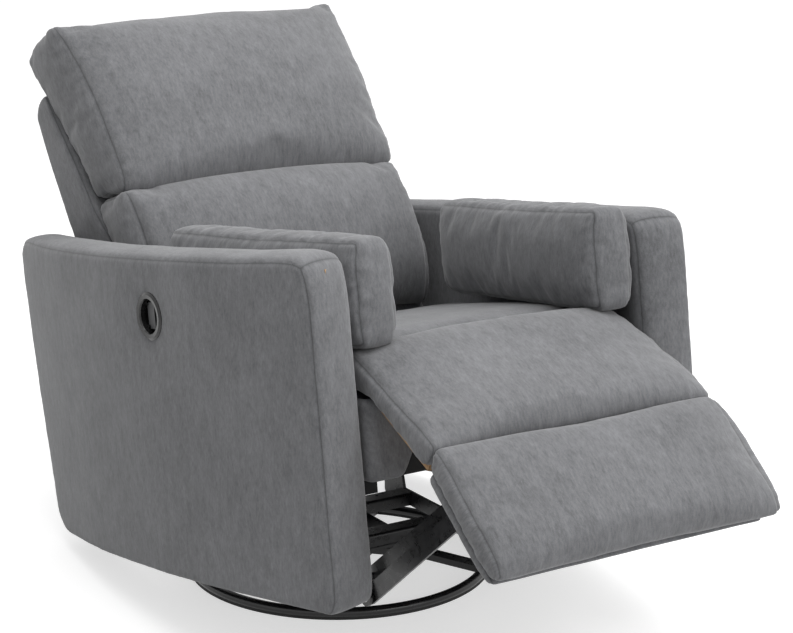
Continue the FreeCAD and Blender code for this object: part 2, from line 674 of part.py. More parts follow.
os.makedirs("parts", exist_ok=True)
make_base()
make_glider_base()
make_glider_links()
make_side_plates()
make_seat_box()
make_springs()
make_arms()
make_latch()
make_drive()
make_bars()
make_footrest()
make_chaise()
make_chaise_hinges()
make_seat_cushion()
make_back()
make_pillows()
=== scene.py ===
import bpy
import bmesh
import math
import numpy as np
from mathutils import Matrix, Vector, noise
from mathutils.kdtree import KDTree


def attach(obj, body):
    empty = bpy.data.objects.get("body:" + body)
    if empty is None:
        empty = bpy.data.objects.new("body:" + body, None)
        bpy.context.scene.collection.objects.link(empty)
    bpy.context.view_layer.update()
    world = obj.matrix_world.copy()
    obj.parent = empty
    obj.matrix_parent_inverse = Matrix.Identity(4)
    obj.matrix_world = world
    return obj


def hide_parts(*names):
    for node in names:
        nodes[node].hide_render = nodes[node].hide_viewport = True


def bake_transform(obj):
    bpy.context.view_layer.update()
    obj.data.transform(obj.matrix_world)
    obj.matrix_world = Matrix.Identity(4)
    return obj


# Swivel glider recliner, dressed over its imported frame. Metres, floor at z 0, the seat faces -Y.
# Soft pieces are drawn in the level body (x, y, z) and then rocked back with it.

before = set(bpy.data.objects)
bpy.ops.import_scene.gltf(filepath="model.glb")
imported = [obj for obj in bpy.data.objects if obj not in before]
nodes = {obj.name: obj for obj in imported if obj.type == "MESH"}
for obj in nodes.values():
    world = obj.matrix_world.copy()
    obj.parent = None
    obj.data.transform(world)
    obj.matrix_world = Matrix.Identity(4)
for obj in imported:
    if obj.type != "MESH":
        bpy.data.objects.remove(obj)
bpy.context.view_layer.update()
scene = bpy.context.scene
print("frame loaded:", len(nodes), "nodes")

lean = {"angle": math.radians(8.79), "lineZ": 0.184}
backSlope = math.radians(32.0)
photo = {"lens": 94.38, "sensor": 36.0, "place": (-1.835, -3.113, 1.398), "target": (0.123, 0.0, 0.451)}


# Placing

def settle(points):
    points = np.asarray(points, float)
    c, s = math.cos(lean["angle"]), math.sin(lean["angle"])
    rise = points[:, 2] - lean["lineZ"]
    return np.stack([points[:, 0], points[:, 1] * c + rise * s,
                     -points[:, 1] * s + rise * c + lean["lineZ"]], axis=1)


def level(x, a, b):
    return x, a, b


def onBack(x, a, b):
    # a runs rearwards from the back's plane, b up along it
    c, s = math.cos(backSlope), math.sin(backSlope)
    return x, a * c + b * s, b * c - a * s


def onSlope(pivot, degrees):
    # a runs forward from the pivot down the slope, b out of its face
    c, s = math.cos(math.radians(degrees)), math.sin(math.radians(degrees))
    return lambda x, a, b: (x, pivot[0] - a * c - b * s, pivot[1] - a * s + b * c)


# Closed outlines through a few points, and the wrapped forms drawn round them

def smoothRun(points, i, count):
    total = len(points)
    p = [points[(i + k) % total] for k in (-1, 0, 1, 2)]
    knots = [0.0]
    for a, b in zip(p[:-1], p[1:]):
        knots.append(knots[-1] + max(np.linalg.norm((b - a)[:2]), 1e-6) ** 0.5)
    t = np.linspace(knots[1], knots[2], count, endpoint=False)[:, None]

    def mix(a, b, ta, tb):
        return a * (tb - t) / (tb - ta) + b * (t - ta) / (tb - ta)

    first, second, third = [mix(p[k], p[k + 1], knots[k], knots[k + 1]) for k in range(3)]
    return mix(mix(first, second, knots[0], knots[2]), mix(second, third, knots[1], knots[3]),
               knots[1], knots[2])


def closedOutline(sides, counts):
    # four sides of (a, b, crown) points, each starting at its own corner; one even run per side
    points = [np.array(tuple(p) + (0.0,) * (3 - len(p))) for side in sides for p in side]
    starts = np.cumsum([0] + [len(side) for side in sides])
    runs = []
    for side in range(4):
        dense = [smoothRun(points, i, 24) for i in range(starts[side], starts[side + 1])]
        dense = np.vstack(dense + [points[starts[side + 1] % len(points)][None]])
        steps = np.linalg.norm(np.diff(dense[:, :2], axis=0), axis=1)
        length = np.concatenate([[0], np.cumsum(steps)])
        wanted = np.linspace(0, length[-1], counts[side] + 1)
        runs.append(np.stack([np.interp(wanted, length, dense[:, k]) for k in range(3)], axis=1))
    return runs


def patchInside(front, top, rear, bottom):
    # fills the outline: rows run up the front and rear, columns from rear to front
    v = np.linspace(0, 1, len(front))[:, None, None]
    w = np.linspace(0, 1, len(top))[None, :, None]
    f, r = front[:, None, :2], rear[::-1][:, None, :2]
    t, b = top[::-1][None, :, :2], bottom[None, :, :2]
    return ((1 - w) * r + w * f + (1 - v) * b + v * t
            - (1 - v) * (1 - w) * b[:, :1] - (1 - v) * w * b[:, -1:]
            - v * (1 - w) * t[:, :1] - v * w * t[:, -1:])


def wrapForm(name, form):
    # a closed form: a crowned band round its outline between two side panels, seamed where they meet
    nu, nv, nw = form["cells"]
    front, top, rear, bottom = closedOutline(form["sides"], (nv, nw, nv, nw))
    inside = patchInside(front, top, rear, bottom)
    ring = np.vstack([front[:-1], top[:-1], rear[:-1], bottom[:-1]])
    tangent = (np.roll(ring, -1, axis=0) - np.roll(ring, 1, axis=0))[:, :2]
    outward = np.stack([tangent[:, 1], -tangent[:, 0]], axis=1)
    outward /= np.linalg.norm(outward, axis=1)[:, None]
    following = np.roll(ring, -1, axis=0)
    if np.sum(ring[:, 0] * following[:, 1] - following[:, 0] * ring[:, 1]) < 0:
        outward = -outward
    girth = np.concatenate([[0], np.cumsum(np.linalg.norm((following - ring)[:, :2], axis=1))])
    cells = ([(j, nw) for j in range(nv)] + [(nv, k) for k in range(nw, 0, -1)]
             + [(j, 0) for j in range(nv, 0, -1)] + [(0, k) for k in range(nw)])
    place, width, power = form["place"], form["width"], form.get("power", 2.6)
    bulge = form.get("bulge", 0.0)
    crossSeams = set(form.get("crossSeams", ()))
    co, marks, flat = [], [], []
    index = {}
    for i in range(nu + 1):
        u = i / nu
        rise = max(0.0, 1 - abs(2 * u - 1) ** power) ** 0.6
        for n, cell in enumerate(cells):
            a, b = ring[n, :2] + outward[n] * ring[n, 2] * rise
            low, high = width(*ring[n, :2])
            index[(i,) + cell] = len(co)
            co.append(place(low + (high - low) * u, a, b))
            marks.append(1.0 if i in (0, nu) or n in crossSeams else 0.0)
            flat.append((low + (high - low) * u, girth[n]))
        if i in (0, nu):
            for j in range(1, nv):
                for k in range(1, nw):
                    a, b = inside[j, k]
                    low, high = width(a, b)
                    out = (16 * j / nv * (1 - j / nv) * k / nw * (1 - k / nw)) ** 0.45
                    out *= bulge(a, b, i > 0) if callable(bulge) else bulge
                    index[(i, j, k)] = len(co)
                    co.append(place(high + out if i else low - out, a, b))
                    marks.append(0.0)
                    flat.append((a, b))
    faces, cloth = [], []
    for i in (0, nu):
        for j in range(nv):
            for k in range(nw):
                corners = [(j, k), (j + 1, k), (j + 1, k + 1), (j, k + 1)]
                faces.append([index[(i,) + c] for c in corners])
                cloth += [tuple(inside[c]) for c in corners]
    for i in range(nu):
        for n, cell in enumerate(cells):
            beside = cells[(n + 1) % len(cells)]
            faces.append([index[(i,) + cell], index[(i + 1,) + cell],
                          index[(i + 1,) + beside], index[(i,) + beside]])
            x0, x1 = flat[faces[-1][0]][0], flat[faces[-1][1]][0]
            cloth += [(x0, girth[n]), (x1, girth[n]), (x1, girth[n + 1]), (x0, girth[n + 1])]
    return clothObject(name, co, faces, marks, cloth)


def clothObject(name, co, faces, marks, cloth):
    mesh = bpy.data.meshes.new(name)
    mesh.from_pydata([tuple(p) for p in settle(co)], [], faces)
    mesh.attributes.new("seam", "FLOAT", "POINT").data.foreach_set("value", marks)
    mesh.uv_layers.new(name="cloth").data.foreach_set("uv", np.array(cloth, np.float32).ravel())
    work = bmesh.new()
    work.from_mesh(mesh)
    bmesh.ops.recalc_face_normals(work, faces=work.faces)
    work.to_mesh(mesh)
    work.free()
    mesh.polygons.foreach_set("use_smooth", [True] * len(mesh.polygons))
    obj = bpy.data.objects.new(name, mesh)
    scene.collection.objects.link(obj)
    return obj


def coordinates(mesh):
    co = np.zeros(len(mesh.vertices) * 3)
    mesh.vertices.foreach_get("co", co)
    return co.reshape(-1, 3)


def directions(mesh):
    out = np.zeros(len(mesh.vertices) * 3)
    mesh.vertices.foreach_get("normal", out)
    return out.reshape(-1, 3)


def seamMarks(mesh):
    marks = np.zeros(len(mesh.vertices))
    mesh.attributes["seam"].data.foreach_get("value", marks)
    return marks


def moveTo(mesh, co):
    mesh.vertices.foreach_set("co", np.asarray(co, np.float32).ravel())
    mesh.update()


# Stuffing: all pads swell together between their held seams, and none moves past its cap

def puff(pads, frames=20):
    for pad in pads:
        obj = pad["object"]
        held = [int(i) for i in np.nonzero(seamMarks(obj.data) > 0.5)[0]]
        obj.vertex_groups.new(name="held").add(held, 1.0, "REPLACE")
        cloth = obj.modifiers.new("stuffing", "CLOTH")
        cloth.settings.vertex_group_mass = "held"
        cloth.settings.use_pressure = True
        cloth.settings.uniform_pressure_force = pad["pressure"]
        cloth.settings.shrink_min = -pad["slack"]
        cloth.settings.effector_weights.gravity = 0.0
        cloth.settings.bending_stiffness = 1.5
        cloth.collision_settings.use_collision = False
        cloth.point_cache.frame_start, cloth.point_cache.frame_end = 1, frames
    for number in range(1, frames + 1):
        scene.frame_set(number)
    graph = bpy.context.evaluated_depsgraph_get()
    for pad in pads:
        obj = pad["object"]
        drawn = coordinates(obj.data)
        moved = coordinates(obj.evaluated_get(graph).data) - drawn
        far = np.linalg.norm(moved, axis=1)
        limit = pad["cap"] * np.tanh(far / pad["cap"]) / np.maximum(far, 1e-9)
        print(f"  {obj.name} swelled by up to {1000 * (far * limit).max():.1f} mm")
        obj.modifiers.remove(obj.modifiers["stuffing"])
        obj.vertex_groups.remove(obj.vertex_groups["held"])
        moveTo(obj.data, drawn + moved * limit[:, None])
    scene.frame_set(1)


def refine(obj):
    modifier = obj.modifiers.new("smooth", "SUBSURF")
    modifier.levels = modifier.render_levels = 1
    graph = bpy.context.evaluated_depsgraph_get()
    mesh = bpy.data.meshes.new_from_object(obj.evaluated_get(graph), depsgraph=graph)
    obj.modifiers.remove(modifier)
    obj.data = mesh
    mesh.polygons.foreach_set("use_smooth", [True] * len(mesh.polygons))


def tailor(obj, finish):
    # sinks the seams, gathers short puckers beside them and leaves the panels a little uneven
    mesh = obj.data
    co, out, marks = coordinates(mesh), directions(mesh), seamMarks(mesh)
    shift = -finish["seamDepth"] * np.clip(marks, 0, 1) ** 1.5
    sewn = np.nonzero(marks > 0.6)[0]
    tree = KDTree(len(sewn))
    for i in sewn:
        tree.insert(co[i], int(i))
    tree.balance()
    seed = Vector((finish["seed"], -finish["seed"], finish["seed"] * 0.37))

    def uneven(point, coarse, fine):
        return noise.noise(point * coarse + seed) + 0.5 * noise.noise(point * fine + seed)

    for i, p in enumerate(co):
        shift[i] += finish["rumple"] * uneven(Vector(p), 9, 21)
        near, _, far = tree.find(p)
        if far < 0.05:
            fade = math.exp(-far / finish["puckerReach"]) * (1 - math.exp(-far / 0.003))
            shift[i] += finish["pucker"] * fade * uneven(near, 62, 130)
    moveTo(mesh, co + out * shift[:, None])


# Materials

def newGroup(name, inputs, outputs):
    tree = bpy.data.node_groups.new(name, "ShaderNodeTree")
    for label, kind, value in inputs:
        socket = tree.interface.new_socket(label, in_out="INPUT", socket_type=kind)
        socket.default_value = value
    for label, kind in outputs:
        tree.interface.new_socket(label, in_out="OUTPUT", socket_type=kind)
    return tree, tree.nodes.new("NodeGroupInput"), tree.nodes.new("NodeGroupOutput")


def addNoise(tree, vector, scale, detail=2.0, rough=0.5):
    node = tree.nodes.new("ShaderNodeTexNoise")
    node.inputs["Scale"].default_value = scale
    node.inputs["Detail"].default_value = detail
    node.inputs["Roughness"].default_value = rough
    tree.links.new(vector, node.inputs["Vector"])
    return node.outputs["Fac"]


def addMath(tree, kind, a, b=None):
    node = tree.nodes.new("ShaderNodeMath")
    node.operation = kind
    for value, socket in ((a, node.inputs[0]), (b, node.inputs[1])):
        if isinstance(value, (int, float)):
            socket.default_value = value
        elif value is not None:
            tree.links.new(value, socket)
    return node.outputs[0]


def addMapping(tree, vector, scale, turn=0.0):
    node = tree.nodes.new("ShaderNodeMapping")
    node.inputs["Scale"].default_value = scale
    node.inputs["Rotation"].default_value = (0, 0, turn)
    tree.links.new(vector, node.inputs["Vector"])
    return node.outputs[0]


def addRange(tree, value, low, high, fromLow=0.0, fromHigh=1.0):
    node = tree.nodes.new("ShaderNodeMapRange")
    node.inputs["From Min"].default_value = fromLow
    node.inputs["From Max"].default_value = fromHigh
    node.inputs["To Min"].default_value = low
    node.inputs["To Max"].default_value = high
    tree.links.new(value, node.inputs["Value"])
    return node.outputs["Result"]


def addScaled(tree, color, factor):
    node = tree.nodes.new("ShaderNodeVectorMath")
    node.operation = "SCALE"
    tree.links.new(color, node.inputs[0])
    tree.links.new(factor, node.inputs["Scale"])
    return node.outputs[0]


def makeNapGroup():
    # brushed micro-fibre: soft clouds, short slanted strokes of lying pile, fine grain, and painted shade
    # that darkens the colour along the seams
    tree, given, result = newGroup("brushedNap", [
        ("Tone", "NodeSocketColor", (0.2, 0.2, 0.2, 1)), ("Strokes", "NodeSocketFloat", 0.1),
        ("Clouds", "NodeSocketFloat", 0.1)], [("Color", "NodeSocketColor"), ("Height", "NodeSocketFloat")])
    coords = tree.nodes.new("ShaderNodeTexCoord")
    place = coords.outputs["Object"]
    sheet = tree.nodes.new("ShaderNodeUVMap")
    sheet.uv_map = "cloth"
    clouds = addNoise(tree, place, 7.0, 3.0, 0.55)
    slanted = addMapping(tree, sheet.outputs[0], (260.0, 95.0, 1.0), math.radians(24))
    strokes = addNoise(tree, slanted, 1.0, 4.0, 0.7)
    steeper = addMapping(tree, sheet.outputs[0], (70.0, 26.0, 1.0), math.radians(-14))
    broad = addNoise(tree, steeper, 1.0, 4.0, 0.65)
    grain = addNoise(tree, sheet.outputs[0], 720.0, 2.0, 0.6)
    both = addMath(tree, "ADD", addMath(tree, "MULTIPLY", strokes, 0.55),
                   addMath(tree, "MULTIPLY", broad, 0.45))
    pile = addMath(tree, "MULTIPLY", addRange(tree, both, -1.0, 1.0, 0.3, 0.7), given.outputs["Strokes"])
    drift = addMath(tree, "MULTIPLY", addRange(tree, clouds, -1.0, 1.0, 0.3, 0.7), given.outputs["Clouds"])
    specks = addRange(tree, grain, -0.10, 0.10, 0.3, 0.7)
    total = addMath(tree, "ADD", addMath(tree, "ADD", pile, drift), addMath(tree, "ADD", specks, 1.0))
    # painted shade: the colour is darkened to half along the seams, standing in for the shade in their
    # grooves
    seam = tree.nodes.new("ShaderNodeAttribute")
    seam.attribute_name = "seam"
    paintedSeamShade = addRange(tree, addMath(tree, "POWER", seam.outputs["Fac"], 5.0), 1.0, 0.5)
    color = addScaled(tree, given.outputs["Tone"], addMath(tree, "MULTIPLY", total, paintedSeamShade))
    tree.links.new(color, result.inputs["Color"])
    relief = addMath(tree, "ADD", addMath(tree, "MULTIPLY", grain, 0.6),
                     addMath(tree, "MULTIPLY", strokes, 0.4))
    tree.links.new(relief, result.inputs["Height"])
    return tree


def makeWearGroup():
    # smooth rigid finishes: faint mottling, tiny specks and uneven gloss
    tree, given, result = newGroup("rigidWear", [
        ("Tone", "NodeSocketColor", (0.02, 0.02, 0.02, 1)), ("Rough", "NodeSocketFloat", 0.35),
        ("Mottle", "NodeSocketFloat", 0.2), ("Scale", "NodeSocketFloat", 60.0)],
        [("Color", "NodeSocketColor"), ("Roughness", "NodeSocketFloat"), ("Height", "NodeSocketFloat")])
    coords = tree.nodes.new("ShaderNodeTexCoord")
    sized = tree.nodes.new("ShaderNodeVectorMath")
    sized.operation = "SCALE"
    tree.links.new(coords.outputs["Object"], sized.inputs[0])
    tree.links.new(given.outputs["Scale"], sized.inputs["Scale"])
    mottle = addNoise(tree, sized.outputs[0], 1.0, 3.0, 0.6)
    fine = addNoise(tree, sized.outputs[0], 14.0, 2.0, 0.5)
    swing = addMath(tree, "MULTIPLY", addRange(tree, mottle, -1.0, 1.0, 0.3, 0.7), given.outputs["Mottle"])
    color = addScaled(tree, given.outputs["Tone"], addMath(tree, "ADD", swing, 1.0))
    tree.links.new(color, result.inputs["Color"])
    uneven = addMath(tree, "ADD", given.outputs["Rough"], addRange(tree, mottle, -0.08, 0.1, 0.3, 0.7))
    tree.links.new(uneven, result.inputs["Roughness"])
    tree.links.new(fine, result.inputs["Height"])
    return tree


def makeGrainGroup():
    # softwood: long rings along the piece with fine pores
    tree, given, result = newGroup("woodGrain", [
        ("Pale", "NodeSocketColor", (0.5, 0.33, 0.18, 1)), ("Dark", "NodeSocketColor", (0.3, 0.17, 0.08, 1))],
        [("Color", "NodeSocketColor"), ("Height", "NodeSocketFloat")])
    coords = tree.nodes.new("ShaderNodeTexCoord")
    along = addMapping(tree, coords.outputs["Object"], (6.0, 40.0, 90.0))
    rings = addNoise(tree, along, 1.0, 4.0, 0.6)
    pores = addNoise(tree, addMapping(tree, coords.outputs["Object"], (60.0, 500.0, 700.0)), 1.0, 2.0, 0.5)
    both = addMath(tree, "ADD", addMath(tree, "MULTIPLY", rings, 0.75),
                   addMath(tree, "MULTIPLY", pores, 0.25))
    mix = tree.nodes.new("ShaderNodeMix")
    mix.data_type = "RGBA"
    tree.links.new(addRange(tree, both, 0.0, 1.0, 0.35, 0.65), mix.inputs["Factor"])
    tree.links.new(given.outputs["Dark"], mix.inputs["A"])
    tree.links.new(given.outputs["Pale"], mix.inputs["B"])
    tree.links.new(mix.outputs["Result"], result.inputs["Color"])
    tree.links.new(both, result.inputs["Height"])
    return tree


def makeMaterial(name, group, values, links, fixed, bump):
    material = bpy.data.materials.new(name)
    material.use_nodes = True
    tree = material.node_tree
    shader = tree.nodes["Principled BSDF"]
    for label, value in fixed.items():
        shader.inputs[label].default_value = value
    pattern = tree.nodes.new("ShaderNodeGroup")
    pattern.node_tree = group
    for label, value in values.items():
        pattern.inputs[label].default_value = value
    for label in links:
        tree.links.new(pattern.outputs["Color" if label == "Base Color" else label], shader.inputs[label])
    relief = tree.nodes.new("ShaderNodeBump")
    relief.inputs["Strength"].default_value = bump[0]
    relief.inputs["Distance"].default_value = bump[1]
    tree.links.new(pattern.outputs["Height"], relief.inputs["Height"])
    tree.links.new(relief.outputs["Normal"], shader.inputs["Normal"])
    return material


napGroup, wearGroup, grainGroup = makeNapGroup(), makeWearGroup(), makeGrainGroup()
clothTone = (0.158, 0.160, 0.167, 1)
upholstery = makeMaterial("greyUpholstery", napGroup, {"Tone": clothTone, "Strokes": 0.36, "Clouds": 0.10},
                          ["Base Color"], {"Roughness": 0.93, "Sheen Weight": 0.35, "Sheen Roughness": 0.45,
                                           "Specular IOR Level": 0.15}, (0.35, 0.0006))


def rigidMaterial(name, tone, rough, metallic=0.0, mottle=0.2, scale=60.0, bump=(0.1, 0.0002), **fixed):
    values = {"Tone": tone + (1,), "Rough": rough, "Mottle": mottle, "Scale": scale}
    return makeMaterial(name, wearGroup, values, ["Base Color", "Roughness"],
                        {"Metallic": metallic, **fixed}, bump)


blackSteel = rigidMaterial("blackSteel", (0.012, 0.012, 0.013), 0.3, mottle=0.3)
blackTube = rigidMaterial("blackTube", (0.010, 0.010, 0.011), 0.2, mottle=0.15, scale=25.0)
rivetSteel = rigidMaterial("rivetSteel", (0.42, 0.42, 0.43), 0.28, metallic=1.0, mottle=0.25, scale=120.0)
springWire = rigidMaterial("springWire", (0.20, 0.20, 0.21), 0.4, metallic=1.0)
floorRubber = rigidMaterial("floorRubber", (0.015, 0.015, 0.015), 0.75, scale=200.0)
strapWeave = rigidMaterial("strapWeave", (0.05, 0.05, 0.05), 0.85, mottle=0.5, scale=420.0,
                           bump=(0.5, 0.0006))
underCloth = rigidMaterial("underCloth", (0.016, 0.016, 0.017), 0.95, mottle=0.3, scale=500.0,
                           bump=(0.3, 0.0003))
latchPlastic = rigidMaterial("latchPlastic", (0.008, 0.008, 0.008), 0.22, mottle=0.15, scale=150.0)
paddlePlastic = rigidMaterial("paddlePlastic", (0.030, 0.031, 0.033), 0.38, mottle=0.2, scale=220.0)
frameWood = makeMaterial("frameWood", grainGroup, {}, ["Base Color"], {"Roughness": 0.62}, (0.2, 0.0004))
print("materials made")


# Upholstered forms. Outline points are (a, b, crown) in the piece's own plane

arm = {"halfWidth": 0.4315, "radius": {1: 2.060, -1: 2.400}, "wideY": -0.030, "frontY": -0.607,
       "frontDepth": 0.080, "turn": math.radians(21.0), "seamZ": {1: 0.617, -1: 0.623}, "lowZ": 0.094}


def armOuter(y, side=1):
    radius = arm["radius"][side]
    return arm["halfWidth"] - radius + math.sqrt(radius ** 2 - (y - arm["wideY"]) ** 2)


def circleThrough(p, q, r):
    # centre and radius of the circle through three (x, y) points
    (ax, ay), (bx, by), (cx, cy) = p, q, r
    d = 2 * (ax * (by - cy) + bx * (cy - ay) + cx * (ay - by))
    a2, b2, c2 = ax * ax + ay * ay, bx * bx + by * by, cx * cx + cy * cy
    x = (a2 * (by - cy) + b2 * (cy - ay) + c2 * (ay - by)) / d
    y = (a2 * (cx - bx) + b2 * (ax - cx) + c2 * (bx - ax)) / d
    return x, y, math.hypot(ax - x, ay - y)


armFrontOuter = (armOuter(arm["frontY"]), arm["frontY"])
armFrontInner = (armFrontOuter[0] - arm["frontDepth"] * math.cos(arm["turn"]),
                 arm["frontY"] + arm["frontDepth"] * math.sin(arm["turn"]))
innerX, innerY, innerR = circleThrough(armFrontInner, (0.3365, -0.040), (0.303, 0.464))


def armInner(y):
    return innerX + math.sqrt(innerR ** 2 - (y - innerY) ** 2)


def armWidth(side):
    def width(a, b):
        outer, inner = armOuter(a, side), armInner(max(a, armFrontInner[1]))
        return (inner, outer) if side > 0 else (-outer, -inner)
    return width


def armPlace(x, a, b):
    # the front turns outwards, so it sets back towards the arm's inner side
    near = np.clip((-0.40 - a) / 0.20, 0, 1)
    near = near * near * (3 - 2 * near)
    return x, a + near * math.tan(arm["turn"]) * max(0.0, armOuter(a, 1 if x > 0 else -1) - abs(x)), b


latch = {"y": -0.173, "z": 0.530, "hole": 0.033, "rim": 0.046, "depth": 0.046}


def armBulge(side):
    def out(a, b, high):
        if high != (side > 0):
            return 0.005
        far = math.hypot(a - latch["y"], b - latch["z"]) if side < 0 else 1.0
        return 0.004 * min(1.0, max(0.0, (far - latch["rim"]) / 0.08))
    return out


def armForm(side):
    top, low = arm["seamZ"][side], arm["lowZ"]
    return {"cells": (14, 58, 108), "place": armPlace, "width": armWidth(side), "bulge": armBulge(side),
            "power": 2.2, "crossSeams": (58,),
            "sides": [[(-0.584, low - 0.002, 0.003), (-0.594, low + 0.014, 0.006), (-0.596, 0.20, 0.010),
                       (-0.596, 0.45, 0.012), (-0.595, 0.570, 0.012), (-0.590, 0.602, 0.012)],
                      [(-0.583, top - 0.005, 0.013), (-0.566, top + 0.001, 0.014),
                       (-0.40, top + 0.001, 0.014), (0.0, top + 0.001, 0.013), (0.30, top + 0.003, 0.013),
                       (0.45, top + 0.005, 0.010), (0.484, top - 0.001, 0.008)],
                      [(0.502, top - 0.020, 0.006), (0.506, 0.58, 0.005), (0.483, 0.44, 0.004),
                       (0.429, 0.24, 0.003), (0.410, 0.17, 0.003)],
                      [(0.394, 0.118, 0.002), (0.357, low - 0.003, 0.0), (0.28, low - 0.006, 0.0),
                       (0.0, low - 0.002, 0.0), (-0.40, low + 0.001, 0.0), (-0.56, low - 0.002, 0.0)]]}


def seatWidth(a, b):
    half = 0.262 if a < -0.44 else min(armInner(a) - 0.011, 0.262 + (a + 0.44) * 0.9, 0.322)
    half -= 0.010 * max(0.0, (-0.46 - a) / 0.03)
    return -half, half


def headWidth(a, b):
    up = min(1.0, max(0.0, (b - 0.73) / 0.36))
    pull = 0.005 * max(0.0, 1 - ((b - 0.91) / 0.19) ** 2)
    return -0.284 - 0.014 * up + pull, 0.286 + 0.019 * up - pull


def headPlace(x, a, b):
    # the top rises a little towards the left side of the seat
    up = min(1.0, max(0.0, (b - 0.90) / 0.20))
    return onBack(x, a, b - 0.004 * up + 0.014 * up * max(0.0, x / 0.30) ** 2)


headForm = {
    "cells": (64, 42, 15), "place": headPlace, "width": headWidth, "bulge": 0.013,
    "sides": [[(-0.208, 0.7155, 0.024), (-0.2235, 0.731, 0.040), (-0.2260, 0.815, 0.050),
               (-0.2265, 0.900, 0.053), (-0.2150, 0.995, 0.042), (-0.1975, 1.072, 0.018)],
              [(-0.188, 1.0965, 0.0), (-0.150, 1.109, -0.002), (-0.100, 1.118, -0.002),
               (-0.068, 1.120, -0.001)],
              [(-0.047, 1.113, 0.003), (-0.045, 1.065, 0.003), (-0.053, 1.010, 0.0), (-0.070, 0.930, 0.0),
               (-0.092, 0.820, 0.0)],
              [(-0.106, 0.764, 0.0), (-0.150, 0.744, 0.0)]]}
lumbarForm = {
    "cells": (64, 32, 14), "place": onBack, "width": lambda a, b: (-0.287, 0.279), "bulge": 0.012,
    "sides": [[(-0.145, 0.436, 0.004), (-0.188, 0.470, 0.024), (-0.217, 0.530, 0.042), (-0.230, 0.594, 0.048),
               (-0.230, 0.655, 0.044), (-0.2265, 0.692, 0.026)],
              [(-0.218, 0.7105, 0.0), (-0.170, 0.725, 0.0)],
              [(-0.108, 0.744, 0.0), (-0.112, 0.60, 0.0), (-0.125, 0.50, 0.0)],
              [(-0.136, 0.440, 0.0)]]}


def shellWidth(a, b):
    # narrower where it swings between the arms
    half = 0.289 + 0.013 * min(1.0, max(0.0, (b - 0.64) / 0.10))
    return -half, half


shellForm = {
    "cells": (44, 48, 12), "place": onBack, "width": shellWidth, "bulge": 0.004, "power": 8.0,
    "sides": [[(-0.128, 0.384, 0.0), (-0.126, 0.44, 0.0), (-0.112, 0.65, 0.0), (-0.095, 0.83, 0.0),
               (-0.074, 0.960, 0.0)],
              [(-0.066, 1.014, 0.002), (-0.048, 1.027, 0.003), (-0.024, 1.026, 0.004)],
              [(-0.006, 1.012, 0.004), (0.003, 0.960, 0.004), (0.011, 0.80, 0.004), (0.011, 0.60, 0.004),
               (0.000, 0.43, 0.004)],
              [(-0.014, 0.384, 0.0), (-0.070, 0.378, 0.0)]]}
seatForm = {
    "cells": (60, 13, 58), "place": level, "width": seatWidth, "bulge": 0.004, "power": 3.0,
    "sides": [[(-0.482, 0.336, 0.0), (-0.489, 0.36, 0.004), (-0.488, 0.42, 0.006)],
              [(-0.476, 0.443, 0.012), (-0.44, 0.454, 0.018), (-0.30, 0.454, 0.018), (-0.10, 0.446, 0.010),
               (0.02, 0.437, 0.004)],
              [(0.054, 0.424, 0.002), (0.062, 0.40, 0.0), (0.062, 0.35, 0.0)],
              [(0.052, 0.332, 0.0), (-0.20, 0.331, 0.0), (-0.44, 0.332, 0.0)]]}


def chaiseWidth(a, b):
    half = 0.257 - 0.007 * max(0.0, (a + 0.56) / 0.07) ** 2
    return -half, half + 0.009 * min(1.0, max(0.0, (-0.54 - a) / 0.10))


chaiseForm = {
    "cells": (62, 6, 34), "place": level, "width": chaiseWidth, "power": 2.5,
    "bulge": lambda a, b, high: 0.016 if high else 0.006,
    "sides": [[(-0.704, 0.3195, 0.0), (-0.717, 0.320, 0.002), (-0.731, 0.333, 0.005)],
              [(-0.737, 0.347, 0.010), (-0.712, 0.367, 0.019), (-0.631, 0.410, 0.026), (-0.556, 0.452, 0.027),
               (-0.517, 0.468, 0.018)],
              [(-0.490, 0.470, 0.008), (-0.488, 0.445, 0.0)],
              [(-0.495, 0.421, 0.0), (-0.545, 0.410, 0.0), (-0.579, 0.401, 0.0), (-0.64, 0.363, 0.0)]]}
footPivot, footSlope = (-0.714, 0.314), 47.0
footPadForm = {
    "cells": (62, 7, 27), "place": onSlope(footPivot, footSlope), "width": lambda a, b: (-0.256, 0.267),
    "bulge": lambda a, b, high: 0.021 if high else 0.006, "power": 2.8,
    "sides": [[(0.198, 0.010, 0.0), (0.208, 0.013, 0.001), (0.214, 0.021, 0.003)],
              [(0.2155, 0.031, 0.006), (0.198, 0.042, 0.014), (0.110, 0.045, 0.021), (0.022, 0.044, 0.017)],
              [(-0.005, 0.038, 0.008), (0.000, 0.022, 0.0)],
              [(0.007, 0.010, 0.0), (0.100, 0.009, 0.0)]]}
footEdgeForm = {
    "cells": (60, 3, 26), "place": onSlope(footPivot, footSlope), "width": lambda a, b: (-0.254, 0.254),
    "bulge": 0.002, "power": 8.0,
    "sides": [[(0.203, -0.002, 0.0), (0.209, 0.001, 0.0)],
              [(0.208, 0.006, 0.0), (0.100, 0.007, 0.0), (0.02, 0.007, 0.0)],
              [(0.010, 0.005, 0.0), (0.009, -0.004, 0.0)],
              [(0.012, -0.0135, 0.0), (0.10, -0.014, 0.0), (0.165, -0.0135, 0.0), (0.190, -0.008, 0.0)]]}


# cover cloth rolled round the hinge between the two pads, so that it turns without creasing
hingeRoll = 0.0088
hingeClothForm = {
    "cells": (40, 3, 3), "place": level, "width": lambda a, b: (-0.246, 0.246), "bulge": 0.0,
    "sides": [[(footPivot[0] + hingeRoll * math.cos(math.radians(degrees)),
                footPivot[1] + hingeRoll * math.sin(math.radians(degrees)))]
              for degrees in (225, 135, 45, -45)]}


